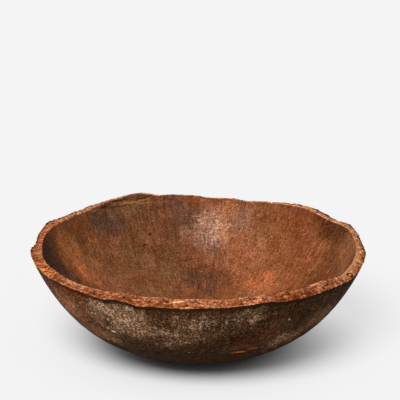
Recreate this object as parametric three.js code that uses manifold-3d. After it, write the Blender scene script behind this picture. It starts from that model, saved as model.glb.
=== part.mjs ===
// A round-bottomed bowl, hollowed out of one block of wood, with a worn and broken rim.
// A small peg, broken off short, fills a drilled hole in the right of the rim.
//
// Lengths are in millimetres and +Z is up. The origin is the middle of the worn flat under the bowl.
// Angles run round the bowl in degrees: 0 is the front (-Y), 90 the right (+X), 180 the back and 270 the left.

import * as THREE from 'three';
import { mergeVertices } from 'three/addons/utils/BufferGeometryUtils.js';
import Module from 'manifold-3d';

// Outside of the wall, as it ran before its top broke away
const FOOT_RADIUS = 25;
const FLOOR_SPREAD = 92; // how far the curve keeps close to the ground past the foot
const WALL_SPREAD = 80; // how far the curve keeps close to the wall's straight lean
const WALL_LEAN = 19; // degrees from upright
const WALL_TOP_RADIUS = 195;

// Thickness of the wood, square to the outside
const WALL_THICKNESS = 12;
const FLOOR_THICKNESS = 16;

// The broken rim
const RIM_HEIGHT = 114; // its outer edge, on average
const LOST_HEIGHT = 18; // how far the wall once ran on above that
const RIM_BEVEL = 6.5; // how far the inner edge stands above the outer one, on average
const RIM_CROWN = 1.2; // how far the broken face bulges between its edges
const CRUMBLE = 0.9; // largest height of the small lumps and pits on the broken face

// How the rim rises and falls: angle, lift of the outer edge, lift of the inner edge
const RIM_STATIONS = [
  [0, 0, 0.5],
  [10, 0, -1],
  [24, 2, 1.5],
  [29, -1.5, -0.5],
  [38, -2.5, -2.5],
  [47, -2, 0],
  [55, -2.5, -4.5],
  [65, -6.5, -10], // the dip that holds the peg
  [74, -2, -7],
  [84, 0, -2],
  [98, -1, -0.5],
  [106, 2, 2.5],
  [113, 4.5, 2],
  [122, 0.5, -0.5],
  [130, 2.5, 1.5],
  [137, 5, 3],
  [145, 3, 2],
  [153, 0.5, -0.5],
  [162, -1, -3],
  [168, 0.5, -0.5],
  [173, -0.5, -2],
  [186, 2.5, 2],
  [194, 3, 3],
  [205, 8, 8.5], // the highest part, back left
  [214, 7.5, 6],
  [228, 4, 1.5],
  [238, 3.5, 1],
  [246, 7.5, 1],
  [256, 3.5, 1],
  [263, -1.5, -0.5], // notch behind the left lump
  [273, 3.5, -4],
  [283, 3.5, -2.5],
  [297, -0.5, -1.5],
  [304, 2, -2.5],
  [313, 1.5, -4],
  [320, 1, -3],
  [326, -1.5, -2.5],
  [332, 2.5, 0],
  [340, -2, -1],
  [347, -1, 0.5],
  [354, -1, -0.5],
];

// The peg and its hole, which opens on the broken face and widens at its mouth
const PEG_ANGLE = 66.5;
const PEG_OUT_FROM_INNER_EDGE = 8;
const PEG_RISE = 48; // degrees that its axis climbs out of the wood
const PEG_TURN = 44; // degrees round the bowl that its axis faces
const PEG_RADIUS = 1.5;
const PEG_LENGTH = 9;
const PEG_SINK = 0.4; // how far its broken end lies below the face
const PEG_CLEARANCE = 0.3;
const HOLE_MOUTH_RADIUS = 2.7;
const HOLE_MOUTH_DEPTH = 2.6;

// How finely the bowl is faceted
const RIM_COLUMNS = 144;
const WALL_COLUMNS = 72;
const FLOOR_COLUMNS = 36;
const PEG_SIDES = 16;

const radians = THREE.MathUtils.degToRad;

// Half of the bowl's outside, from the edge of its foot to the top of the wall, as radius and height
const wallTop = new THREE.Vector2(WALL_TOP_RADIUS, RIM_HEIGHT + LOST_HEIGHT);
const wallDirection = new THREE.Vector2(Math.sin(radians(WALL_LEAN)), Math.cos(radians(WALL_LEAN)));
const outside = new THREE.CubicBezierCurve(
  new THREE.Vector2(FOOT_RADIUS, 0),
  new THREE.Vector2(FOOT_RADIUS + FLOOR_SPREAD, 0),
  wallTop.clone().addScaledVector(wallDirection, -WALL_SPREAD),
  wallTop,
);

// The point of the inside that lies square behind a point of the outside
function insidePoint(t) {
  const tangent = outside.getTangent(t);
  const thickness = THREE.MathUtils.lerp(FLOOR_THICKNESS, WALL_THICKNESS, Math.min(1, t));
  const inward = new THREE.Vector2(-tangent.y, tangent.x);
  return outside.getPoint(t).addScaledVector(inward, thickness);
}

function outsidePoint(t) {
  return outside.getPoint(t);
}

// Where along a profile a height is reached
function reach(profile, height) {
  let low = 0;
  let high = 1;
  for (let step = 0; step < 40; step += 1) {
    const middle = (low + high) / 2;
    if (profile(middle).y < height) low = middle;
    else high = middle;
  }
  return high;
}

// The lift of one of the rim's edges at an angle, smoothed between the stations on either side
function rimLift(angle, column) {
  const turn = ((angle % 360) + 360) % 360;
  const next = RIM_STATIONS.findIndex((station) => station[0] > turn);
  const after = RIM_STATIONS[next < 0 ? 0 : next];
  const before = RIM_STATIONS[(next < 0 ? RIM_STATIONS.length : next) - 1];
  const span = after[0] > before[0] ? after[0] - before[0] : 360 - before[0];
  const share = THREE.MathUtils.smoothstep((turn - before[0]) / span, 0, 1);
  return THREE.MathUtils.lerp(before[column], after[column], share);
}

// Small lumps and pits, as a mix of waves that never line up
function crumble(angle, across) {
  const a = radians(angle);
  const waves =
    Math.sin(17 * a + 2.1 * across) +
    0.8 * Math.sin(29 * a - 4.3 * across + 1.7) +
    0.7 * Math.sin(41 * a + 6.1 * across + 0.4);
  return (CRUMBLE * waves) / 2.5;
}

function outerEdgeHeight(angle) {
  return RIM_HEIGHT + rimLift(angle, 1) + crumble(angle, 0);
}

function innerEdgeHeight(angle) {
  return RIM_HEIGHT + RIM_BEVEL + rimLift(angle, 2) + crumble(angle, 1);
}

function outerEdge(angle) {
  return outside.getPoint(reach(outsidePoint, outerEdgeHeight(angle)));
}

function innerEdge(angle) {
  return insidePoint(reach(insidePoint, innerEdgeHeight(angle)));
}

// A point of the broken face, from its outer edge (0) to its inner edge (1)
function brokenFace(angle, across) {
  const point = outerEdge(angle).lerp(innerEdge(angle), across);
  const middle = Math.sin(Math.PI * across);
  point.y += middle * (RIM_CROWN + crumble(angle, 3 * across));
  return point;
}

function place(point, angle) {
  const a = radians(angle);
  return new THREE.Vector3(point.x * Math.sin(a), -point.x * Math.cos(a), point.y);
}

// A ring of corners round the bowl, where a function of the angle gives radius and height
function ring(columns, pointAt) {
  return Array.from({ length: columns }, (_, i) => {
    const angle = (360 * i) / columns;
    return { angle, point: place(pointAt(angle), angle) };
  });
}

// Rings up a wall: shares of the way from the foot to the rim, with finer rings towards the rim
const WALL_ROWS = [
  { share: 0, columns: FLOOR_COLUMNS },
  { share: 0.1, columns: FLOOR_COLUMNS },
  { share: 0.2, columns: FLOOR_COLUMNS },
  { share: 0.3, columns: WALL_COLUMNS },
  { share: 0.4, columns: WALL_COLUMNS },
  { share: 0.5, columns: WALL_COLUMNS },
  { share: 0.6, columns: WALL_COLUMNS },
  { share: 0.7, columns: WALL_COLUMNS },
  { share: 0.8, columns: RIM_COLUMNS },
  { share: 0.9, columns: RIM_COLUMNS },
  { share: 1, columns: RIM_COLUMNS },
];
const FACE_ROWS = [0.22, 0.5, 0.78];

function wallRings(profile, edgeHeight) {
  return WALL_ROWS.map(({ share, columns }) =>
    ring(columns, (angle) => profile(share * reach(profile, edgeHeight(angle)))),
  );
}

// Triangles between two rings, which may have different numbers of corners
function stitch(lower, upper, triangles) {
  let i = 0;
  let j = 0;
  const turn = (corners, n) => corners[n % corners.length].angle + 360 * Math.floor(n / corners.length);
  while (i < lower.length || j < upper.length) {
    const here = lower[i % lower.length].point;
    const there = upper[j % upper.length].point;
    const upperNext = i >= lower.length || (j < upper.length && turn(upper, j + 1) < turn(lower, i + 1));
    if (upperNext) {
      triangles.push(here, upper[(j + 1) % upper.length].point, there);
      j += 1;
    } else {
      triangles.push(here, lower[(i + 1) % lower.length].point, there);
      i += 1;
    }
  }
}

function closeRing(corners, centre, facingUp, triangles) {
  corners.forEach(({ point }, i) => {
    const next = corners[(i + 1) % corners.length].point;
    if (facingUp) triangles.push(centre, point, next);
    else triangles.push(centre, next, point);
  });
}

function bowlGeometry() {
  const outerRings = wallRings(outsidePoint, outerEdgeHeight);
  const faceRings = FACE_ROWS.map((across) => ring(RIM_COLUMNS, (angle) => brokenFace(angle, across)));
  const innerRings = wallRings(insidePoint, innerEdgeHeight).reverse();
  const rings = [...outerRings, ...faceRings, ...innerRings];
  const triangles = [];
  closeRing(rings[0], new THREE.Vector3(0, 0, 0), false, triangles);
  for (let i = 1; i < rings.length; i += 1) stitch(rings[i - 1], rings[i], triangles);
  closeRing(rings.at(-1), new THREE.Vector3(0, 0, FLOOR_THICKNESS), true, triangles);
  return new THREE.BufferGeometry().setFromPoints(triangles);
}

// Joining and cutting closed shapes
const wasm = await Module();
wasm.setup();

function toSolid(geometry) {
  const bare = geometry.clone();
  bare.deleteAttribute('normal');
  bare.deleteAttribute('uv');
  const merged = mergeVertices(bare, 1e-4);
  return new wasm.Manifold(
    new wasm.Mesh({
      numProp: 3,
      vertProperties: new Float32Array(merged.attributes.position.array),
      triVerts: new Uint32Array(merged.index.array),
    }),
  );
}

function toGeometry(solid) {
  const mesh = solid.getMesh();
  const geometry = new THREE.BufferGeometry();
  geometry.setAttribute('position', new THREE.BufferAttribute(mesh.vertProperties, 3));
  geometry.setIndex(new THREE.BufferAttribute(mesh.triVerts, 1));
  geometry.computeVertexNormals();
  return geometry;
}

// The peg's axis starts on the broken face and points out of the wood
const pegFace = new THREE.Vector3().copy(
  place(
    brokenFace(PEG_ANGLE, 1 - PEG_OUT_FROM_INNER_EDGE / (outerEdge(PEG_ANGLE).x - innerEdge(PEG_ANGLE).x)),
    PEG_ANGLE,
  ),
);
const pegAxis = new THREE.Vector3(
  Math.sin(radians(PEG_TURN)) * Math.cos(radians(PEG_RISE)),
  -Math.cos(radians(PEG_TURN)) * Math.cos(radians(PEG_RISE)),
  Math.sin(radians(PEG_RISE)),
);

// A round rod on the peg's axis, between two distances from the face, where below the face is negative
function rodGeometry(radius, from, to) {
  const rod = new THREE.CylinderGeometry(radius, radius, to - from, PEG_SIDES);
  rod.translate(0, (from + to) / 2, 0);
  rod.applyQuaternion(new THREE.Quaternion().setFromUnitVectors(new THREE.Vector3(0, 1, 0), pegAxis));
  return rod.translate(pegFace.x, pegFace.y, pegFace.z);
}

function pegHole() {
  const clearOfFace = 6;
  const bottom = -PEG_SINK - PEG_LENGTH - PEG_CLEARANCE;
  const bore = toSolid(rodGeometry(PEG_RADIUS + PEG_CLEARANCE, bottom, clearOfFace));
  const mouth = toSolid(rodGeometry(HOLE_MOUTH_RADIUS, -HOLE_MOUTH_DEPTH, clearOfFace));
  return bore.add(mouth);
}

const agedWood = new THREE.MeshStandardMaterial({ color: 0x8a5435, roughness: 0.62, metalness: 0 });
const pegWood = new THREE.MeshStandardMaterial({ color: 0xb9783f, roughness: 0.7, metalness: 0 });

const bowl = new THREE.Mesh(toGeometry(toSolid(bowlGeometry()).subtract(pegHole())), agedWood);
bowl.name = 'bowl';

const peg = new THREE.Mesh(rodGeometry(PEG_RADIUS, -PEG_SINK - PEG_LENGTH, -PEG_SINK), pegWood);
peg.name = 'rim_peg';

const object = new THREE.Group();
object.add(bowl, peg);

export default object;
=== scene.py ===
import math

import bmesh
import bpy
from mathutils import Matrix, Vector


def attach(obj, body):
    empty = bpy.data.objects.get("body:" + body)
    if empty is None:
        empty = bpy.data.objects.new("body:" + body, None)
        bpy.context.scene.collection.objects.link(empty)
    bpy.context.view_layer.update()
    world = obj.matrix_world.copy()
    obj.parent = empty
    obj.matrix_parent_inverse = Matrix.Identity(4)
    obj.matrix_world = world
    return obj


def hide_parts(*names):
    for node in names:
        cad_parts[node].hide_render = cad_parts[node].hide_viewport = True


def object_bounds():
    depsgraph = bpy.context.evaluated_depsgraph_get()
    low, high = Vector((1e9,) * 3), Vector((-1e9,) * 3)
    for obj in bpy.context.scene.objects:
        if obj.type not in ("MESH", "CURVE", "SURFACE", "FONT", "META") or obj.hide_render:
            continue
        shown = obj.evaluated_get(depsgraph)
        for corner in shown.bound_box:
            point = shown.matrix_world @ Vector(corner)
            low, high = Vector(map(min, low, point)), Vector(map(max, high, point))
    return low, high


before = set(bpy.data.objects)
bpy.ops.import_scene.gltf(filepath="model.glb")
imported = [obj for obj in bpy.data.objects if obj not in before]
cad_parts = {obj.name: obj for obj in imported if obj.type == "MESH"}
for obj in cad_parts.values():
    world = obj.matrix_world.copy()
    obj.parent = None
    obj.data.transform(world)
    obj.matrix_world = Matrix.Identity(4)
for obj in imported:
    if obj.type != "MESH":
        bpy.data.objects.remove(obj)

# An old carved bowl of red-brown wood, dark and scuffed outside, with a crumbled rim and the stub of a peg
# in it. Lengths are in metres. Angles run round the bowl in degrees: 0 is the front (-Y), 90 the right (+X).

CAD_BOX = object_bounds()
MM = 0.001

# The wall's outside, as it ran before its top broke away
FOOT_RADIUS = 25 * MM
FLOOR_SPREAD = 92 * MM
WALL_SPREAD = 80 * MM
WALL_LEAN = math.radians(19)
WALL_TOP_RADIUS = 195 * MM
WALL_TOP_HEIGHT = 132 * MM
WALL_THICKNESS = 12 * MM
FLOOR_THICKNESS = 16 * MM

# The broken rim
RIM_HEIGHT = 114 * MM
RIM_BEVEL = 6.5 * MM
RIM_CROWN = 1.2 * MM

# How the rim rises and falls: angle, lift of the outer edge, lift of the inner edge, in millimetres
RIM_STATIONS = [
    (0, 0, 0.5),
    (10, 0, -1),
    (24, 2, 1.5),
    (29, -1.5, -0.5),
    (38, -2.5, -2.5),
    (47, -2, 0),
    (55, -2.5, -4.5),
    (65, -6.5, -10),  # the dip that holds the peg
    (74, -2, -7),
    (84, 0, -2),
    (98, -1, -0.5),
    (106, 2.5, 2),
    (113, 5.5, 1),
    (118, 3.5, -0.5),
    (122, 1.5, -1.5),
    (130, 4.5, 0.5),
    (137, 6, 2),
    (145, 4.5, 1),
    (153, 1, -0.5),
    (162, 0, -2.5),
    (168, 1, -0.5),
    (173, 0.5, -1.5),
    (186, 2.5, 2),
    (194, 3, 3),
    (205, 8, 8.5),  # the highest part, back left
    (214, 7.5, 6),
    (221, 6.5, 3),
    (228, 5, 1),
    (239, 5, 0.5),
    (246, 7.5, 1),
    (256, 3.5, 1),
    (263, -1.5, -0.5),  # notch behind the left lump
    (273, 3.5, -4),
    (283, 3.5, -2.5),
    (297, -0.5, -1.5),
    (304, 2, -2.5),
    (313, 1.5, -4),
    (320, 1, -3),
    (326, -1.5, -2.5),
    (332, 2.5, 0),
    (340, -2, -1),
    (347, -1, 0.5),
    (354, -1, -0.5),
]

# The peg and its hole
PEG_ANGLE = 66.5
PEG_OUT_FROM_INNER_EDGE = 8 * MM
PEG_RISE = math.radians(48)
PEG_TURN = 44
PEG_RADIUS = 1.5 * MM
PEG_LENGTH = 9 * MM
PEG_SINK = 0.4 * MM
PEG_STANDS_UP = 0.9 * MM  # as the crumbled face stands up round it
PEG_CLEARANCE = 0.3 * MM
HOLE_MOUTH_RADIUS = 3.2 * MM
HOLE_MOUTH_DEPTH = 3 * MM
FIRM_WOOD_RADIUS = 14 * MM  # round the peg
PEG_SIDES = 32
PEG_END_RINGS = 5
PEG_CREASE = math.radians(40)
HOLE_SIDES = 16

# The modelling cage: how many columns stand round the bowl, and how far its rings lie from the rim's edges
COLUMNS = 144
RING_DISTANCES = [0, 2.5, 6, 13, 26, 44, 66, 92, 122, 152, 182]
RING_FOLLOWS = [1, 1, 0.85, 0.5, 0.15]  # how far the rings next to the rim rise and fall with it
FACE_RINGS = [0.3, 0.7]  # shares across the broken face
PROFILE_STEPS = 400
NEAR = 0.05 * MM  # what counts as the same place
UNDERCUT = 0.8 * MM  # how far the wall steps back just under the torn outer edge
FINER_FROM = 0.06  # the share of broken wood from which the mesh is made finer
FINER_CUTS = 4
TORN_FROM = 0.8  # the share of broken wood that counts as the torn face itself
SUNK_RANGE = 3 * MM  # from the highest to the deepest place of the torn face
FLOOR_RINGS = 6
FLOOR_RING_WIDTH = 3.2 * MM
FOOT_WEAR = 0.25 * MM  # the underside is worn flat up to this height
KEPT_SHARE = 0.95  # of the triangles
BOWL_CREASE = math.radians(50)

# Camera, from the proportions of the photograph
CAMERA_ELEVATION = math.radians(20)
CAMERA_DISTANCE = 3.0
CAMERA_AIM_HEIGHT = 60 * MM
METRES_PER_PIXEL = 1.131 * MM
PICTURE_SIZE = 400
BOWL_PIXEL = (198.8, 295.2)  # where the aimed-at point on the bowl's axis appears
SENSOR = 36.0

# Splits that run along the broken face: angle, share across it, then length, width and depth in millimetres
SPLITS = [
    (7.5, 0.45, 10, 2, 4),
    (14.5, 0.2, 14, 1.8, 4),
    (19, 0.6, 5, 2, 3),
    (24, 0.35, 10, 1.8, 3),
    (29, 0.2, 14, 3, 3.5),
    (31, 0.62, 22, 1.6, 3),
    (38, 0.35, 8, 2.4, 4),
    (43, 0.66, 15, 2, 4),
    (50, 0.42, 13, 2.2, 4),
    (337, 0.3, 9, 1.6, 3),
    (343, 0.5, 12, 1.8, 2.5),
    (327, 0.3, 8, 1.6, 2.5),
    (297, 0.55, 9, 1.4, 2.5),
    (142, 0.4, 16, 1.6, 4),
    (163, 0.4, 14, 1.3, 3),
    (180, 0.5, 18, 1.2, 3),
    (200, 0.4, 24, 1.5, 4),
    (212, 0.6, 26, 1.4, 4),
    (222, 0.45, 22, 1.4, 4),
    (233, 0.6, 14, 1.4, 3),
]

# Worm holes and rotted pits in the broken face: angle, share across it, then radius and depth in millimetres
WORM_HOLES = [
    (252, 0.35, 1.3, 4),
    (259, 0.7, 1.3, 4),
    (262.5, 0.3, 1.5, 5),
    (265, 0.6, 1.3, 4),
    (271, 0.7, 1.5, 5),
    (277, 0.35, 1.3, 4),
    (279.5, 0.7, 1.5, 5),
    (284, 0.5, 1.3, 4),
    (291, 0.7, 1.3, 4),
    (122, 0.3, 1.8, 4),
    (113, 0.25, 2, 4.5),
    (106, 0.3, 1.8, 4),
    (101, 0.22, 2.4, 5),
    (96, 0.3, 2, 5),
    (91, 0.2, 2.6, 5),
    (86, 0.28, 2, 5),
    (81, 0.2, 2.4, 5),
    (76, 0.3, 1.5, 4),
    (88, 0.7, 1.2, 3),
    (349, 0.6, 1.6, 4),
    (356, 0.35, 1.4, 4),
    (334, 0.55, 1.6, 4),
    (322, 0.6, 1.6, 4),
    (311, 0.4, 1.6, 4),
]
DEEPEST = 5  # millimetres

# Light: one soft key from the upper front left, and a white room round it
KEY_SIDE = 342
KEY_HEIGHT = 47
KEY_WIDTH = 30
KEY_SHARE = 0.75

# The paper floor, and how far from the bowl's middle its painted glow, which lightens the bowl's shadow for
# the camera, starts and is full
PAPER = (0.905, 0.905, 0.905, 1)
PAPER_SIZE = 30
GLOW_STARTS = 67 * MM
GLOW_FULL = 209 * MM
GLOW_SHARE = 0.75


# The bowl's outline

def around(angle):
    """Unit vector away from the bowl's axis at an angle."""
    a = math.radians(angle)
    return Vector((math.sin(a), -math.cos(a), 0))


def outside_at(t):
    """Radius and height of the outside, from the foot (0) to the top of the uncut wall (1)."""
    top = Vector((WALL_TOP_RADIUS, WALL_TOP_HEIGHT))
    lean = Vector((math.sin(WALL_LEAN), math.cos(WALL_LEAN)))
    foot = Vector((FOOT_RADIUS, 0))
    points = (foot, foot + Vector((FLOOR_SPREAD, 0)), top - WALL_SPREAD * lean, top)
    weights = ((1 - t) ** 3, 3 * (1 - t) ** 2 * t, 3 * (1 - t) * t * t, t ** 3)
    return sum((w * p for w, p in zip(weights, points)), Vector((0, 0)))


def inside_at(t):
    """Radius and height of the inside, square behind a point of the outside."""
    step = 0.0005
    along = (outside_at(t + step) - outside_at(t - step)).normalized()
    thickness = FLOOR_THICKNESS + (WALL_THICKNESS - FLOOR_THICKNESS) * min(1, max(0, t))
    return outside_at(t) + thickness * Vector((-along.y, along.x))


def reach(profile, height):
    """Where along a profile a height is reached."""
    low, high = 0.0, 1.0
    for _ in range(30):
        middle = (low + high) / 2
        if profile(middle).y < height:
            low = middle
        else:
            high = middle
    return high


def ring_points(profile, top_t):
    """Points of a profile at the cage's ring distances below its top, as radius and height."""
    samples = [profile(top_t * (1 - i / PROFILE_STEPS)) for i in range(PROFILE_STEPS + 1)]
    points = []
    travelled = 0.0
    wanted = [d * MM for d in RING_DISTANCES]
    for here, there in zip(samples, samples[1:]):
        while wanted and travelled >= wanted[0] - 1e-9:
            points.append(here)
            wanted.pop(0)
        travelled += (there - here).length
    return points


def ease(value, low, high):
    """Goes smoothly from 0 to 1 while a value goes from low to high."""
    share = min(1, max(0, (value - low) / (high - low)))
    return share * share * (3 - 2 * share)


def rim_lift(angle, edge):
    """Lift of the rim's outer (1) or inner (2) edge at an angle, smoothed between stations."""
    turn = angle % 360
    before = [s for s in RIM_STATIONS if s[0] <= turn][-1]
    later = [s for s in RIM_STATIONS if s[0] > turn]
    after = later[0] if later else (360,) + RIM_STATIONS[0][1:]
    share = ease(turn, before[0], after[0])
    return (before[edge] + (after[edge] - before[edge]) * share) * MM


def outer_edge(angle):
    return outside_at(reach(outside_at, RIM_HEIGHT + rim_lift(angle, 1)))


def inner_edge(angle):
    return inside_at(reach(inside_at, RIM_HEIGHT + RIM_BEVEL + rim_lift(angle, 2)))


def face_point(angle, across):
    """A point of the broken face, from its outer edge (0) to its inner edge (1), in the bowl's frame."""
    point = outer_edge(angle).lerp(inner_edge(angle), across)
    return around(angle) * point.x + Vector((0, 0, point.y + RIM_CROWN * math.sin(math.pi * across)))


# Modelling helpers

def deselect_all():
    if bpy.context.object and bpy.context.object.mode != "OBJECT":
        bpy.ops.object.mode_set(mode="OBJECT")
    bpy.ops.object.select_all(action="DESELECT")


def edit(piece):
    deselect_all()
    bpy.context.view_layer.objects.active = piece
    piece.select_set(True)
    bpy.ops.object.mode_set(mode="EDIT")
    bpy.ops.mesh.select_mode(type="VERT")
    return bmesh.from_edit_mesh(piece.data)


def edit_faces(piece):
    edit(piece)
    bpy.ops.mesh.select_all(action="DESELECT")
    bpy.ops.mesh.select_mode(type="FACE")
    return bmesh.from_edit_mesh(piece.data)


def face_all_out():
    bpy.ops.mesh.select_all(action="SELECT")
    bpy.ops.mesh.normals_make_consistent(inside=False)


def stop_editing():
    bpy.ops.object.mode_set(mode="OBJECT")


def apply_modifiers(piece):
    deselect_all()
    bpy.context.view_layer.objects.active = piece
    piece.select_set(True)
    for modifier in list(piece.modifiers):
        bpy.ops.object.modifier_apply(modifier=modifier.name)


def apply_place(piece):
    deselect_all()
    bpy.context.view_layer.objects.active = piece
    piece.select_set(True)
    bpy.ops.object.transform_apply(location=True, rotation=True, scale=True)


# The bowl's body

def before_rounding(section):
    """Moves a section's points outward by as much as the rounding will draw them in."""
    points = list(section)
    for _ in range(8):
        rounded = [(a + 6 * b + c) / 8 for a, b, c in zip(points, points[1:], points[2:])]
        rounded = [points[0]] + rounded + [points[-1]]
        points = [p + wanted - got for p, wanted, got in zip(points, section, rounded)]
    return points


def turn_cage():
    """A bowl with a level rim: its section is drawn point by point, then spun round the axis."""
    outer = ring_points(outside_at, reach(outside_at, RIM_HEIGHT))
    inner = ring_points(inside_at, reach(inside_at, RIM_HEIGHT + RIM_BEVEL))
    face = [outer[0].lerp(inner[0], a) + Vector((0, RIM_CROWN * math.sin(math.pi * a))) for a in FACE_RINGS]
    section = before_rounding([outside_at(0)] + outer[::-1] + face + inner + [inside_at(0)])
    outer = section[1:1 + len(outer)][::-1]
    face = section[1 + len(outer):1 + len(outer) + len(face)]
    inner = section[1 + len(outer) + len(face):-1]
    bpy.ops.mesh.primitive_plane_add(size=2 * MM, location=(0, 0, 0))
    cage = bpy.context.object
    cage.name = "bowl_body"
    cage.data.name = "bowl_body"
    edit(cage)
    bpy.ops.mesh.merge(type="CENTER")
    bpy.ops.transform.translate(value=(section[0].x, 0, section[0].y))
    for here, there in zip(section, section[1:]):
        step = there - here
        bpy.ops.mesh.extrude_region_move(TRANSFORM_OT_translate={"value": (step.x, 0, step.y)})
    bpy.ops.mesh.select_all(action="SELECT")
    bpy.ops.mesh.spin(steps=COLUMNS, angle=2 * math.pi, center=(0, 0, 0), axis=(0, 0, 1))
    bpy.ops.mesh.select_all(action="SELECT")
    bpy.ops.mesh.remove_doubles(threshold=NEAR)
    face_all_out()
    stop_editing()
    return cage, outer, face, inner


def ring_vertices(cage, point):
    """Indices of a ring's vertices by column."""
    found = {}
    for v in cage.data.vertices:
        r = math.hypot(v.co.x, v.co.y)
        if abs(r - point.x) < NEAR and abs(v.co.z - point.y) < NEAR:
            angle = math.degrees(math.atan2(v.co.x, -v.co.y)) % 360
            found[round(angle * COLUMNS / 360) % COLUMNS] = v.index
    return found


def break_rim(cage, outer, face, inner):
    """Slides each column's top up or down its own wall to the broken rim's height."""
    level_outer = outside_at(reach(outside_at, RIM_HEIGHT))
    level_inner = inside_at(reach(inside_at, RIM_HEIGHT + RIM_BEVEL))
    shifts = {}
    for column in range(COLUMNS):
        angle = 360 * column / COLUMNS
        shifts[column] = (outer_edge(angle) - level_outer, inner_edge(angle) - level_inner)
    moves = []
    for side, points in ((0, outer), (1, inner)):
        for point, follow in zip(points, RING_FOLLOWS):
            under_lip = Vector((-UNDERCUT, 0)) if side == 0 and point is points[1] else Vector((0, 0))
            for column, index in ring_vertices(cage, point).items():
                moves.append((index, 360 * column / COLUMNS, shifts[column][side] * follow + under_lip))
    for point, across in zip(face, FACE_RINGS):
        for column, index in ring_vertices(cage, point).items():
            outer_shift, inner_shift = shifts[column]
            moves.append((index, 360 * column / COLUMNS, outer_shift.lerp(inner_shift, across)))
    edit(cage)
    for index, angle, shift in moves:
        bpy.ops.mesh.select_all(action="DESELECT")
        mesh = bmesh.from_edit_mesh(cage.data)
        mesh.verts.ensure_lookup_table()
        mesh.verts[index].select = True
        bpy.ops.transform.translate(value=around(angle) * shift.x + Vector((0, 0, shift.y)))
    stop_editing()


def name_zones(cage, face, outer, inner):
    """Vertex groups: how far a point is broken wood and how far inside, and how its torn wood is shaped."""
    broken = cage.vertex_groups.new(name="broken")
    inside = cage.vertex_groups.new(name="inside")
    torn_along = cage.vertex_groups.new(name="torn along the fibres")
    torn_ends = cage.vertex_groups.new(name="torn fibre ends")
    rings = [(outer[0], 0.9, 0, 0.8), (face[0], 1, 0.3, 1), (face[1], 1, 0.7, 1), (inner[0], 0.9, 1, 0.6)]
    for points, inward in ((outer, 0), (inner, 1)):
        rings += [(point, weight, inward, weight) for point, weight in zip(points[1:], (0.25, 0.05))]
        rings += [(point, 0, inward, 0) for point in points[3:]]
    for point, broken_share, inward, torn_share in rings:
        ring = ring_vertices(cage, point)
        broken.add(list(ring.values()), broken_share, "REPLACE")
        inside.add(list(ring.values()), inward, "REPLACE")
        for column, index in ring.items():
            angle = 360 * column / COLUMNS
            # the inner edge is worn smooth at the front and rough at the back
            to_front = 0.5 + 0.5 * math.cos(math.radians(angle))
            share = torn_share * (1 - 0.65 * to_front if point is inner[0] else 1)
            # the fibres lie left and right, so their ends show at the sides
            ends = ease(abs(math.sin(math.radians(angle))), 0.5, 0.9)
            share *= 1 - 0.35 * ends
            torn_along.add([index], share * (1 - 0.75 * ends), "REPLACE")
            torn_ends.add([index], share * ends, "REPLACE")
    middle = [v for v in cage.data.vertices if math.hypot(v.co.x, v.co.y) < FOOT_RADIUS * 1.01]
    inside.add([v.index for v in middle if v.co.z > FLOOR_THICKNESS / 2], 1, "REPLACE")


def firm_up_round_peg(bowl):
    """The wood is firm round the peg: less of it is torn there, and none at the hole's mouth."""
    place, _ = peg_place()
    torn = [bowl.vertex_groups[name].index for name in ("torn along the fibres", "torn fibre ends")]
    for v in bowl.data.vertices:
        away = (v.co - place).length
        if away < FIRM_WOOD_RADIUS:
            for g in v.groups:
                if g.group in torn:
                    g.weight *= ease(away, HOLE_MOUTH_RADIUS, FIRM_WOOD_RADIUS)


def lumps(name, size, depth=2, hard=False):
    texture = bpy.data.textures.new(name, "CLOUDS")
    texture.noise_scale = size
    texture.noise_depth = depth
    texture.noise_basis = "IMPROVED_PERLIN"
    texture.noise_type = "HARD_NOISE" if hard else "SOFT_NOISE"
    return texture


def pits(name, size):
    """Round hollows, deepest in the middle of each cell."""
    texture = bpy.data.textures.new(name, "VORONOI")
    texture.noise_scale = size
    texture.noise_intensity = 1.2
    return texture


def displace(piece, texture, strength, middle, group=None, along=None):
    modifier = piece.modifiers.new(texture.name, "DISPLACE")
    modifier.texture = texture
    modifier.strength = strength
    modifier.mid_level = middle
    modifier.direction = "NORMAL"
    if group:
        modifier.vertex_group = group
    if along:
        modifier.texture_coords = "OBJECT"
        modifier.texture_coords_object = along
    else:
        modifier.texture_coords = "LOCAL"


def subdivide_broken(bowl):
    """Gives the broken wood a finer mesh than the plain walls."""
    broken = bowl.vertex_groups["broken"].index
    mesh = edit_faces(bowl)
    layer = mesh.verts.layers.deform.verify()
    for f in mesh.faces:
        f.select = all(v[layer].get(broken, 0) > FINER_FROM for v in f.verts)
    bpy.ops.mesh.subdivide(number_cuts=FINER_CUTS)
    stop_editing()


def mark_hollows(bowl):
    """Weights that say where the broken face is split or bored, and how deep (1 is the deepest)."""
    hollows = [(angle, across, long / 2, wide / 2, depth) for angle, across, long, wide, depth in SPLITS]
    hollows += [(angle, across, radius, radius, depth) for angle, across, radius, depth in WORM_HOLES]
    group = bowl.vertex_groups.new(name="hollows")
    for angle, across, half_length, half_width, depth in hollows:
        middle = face_point(angle, across)
        along = around(angle + 90)
        for v in bowl.data.vertices:
            away = v.co - middle
            if away.length > max(half_length, half_width) * 1.1 * MM:
                continue
            lengthways = away.dot(along)
            sideways = (away - along * lengthways).length
            share = 1 - (lengthways / (half_length * MM)) ** 2 - (sideways / (half_width * MM)) ** 2
            if share > 0:
                group.add([v.index], min(1, 1.6 * share) * depth / DEEPEST, "REPLACE")


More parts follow.
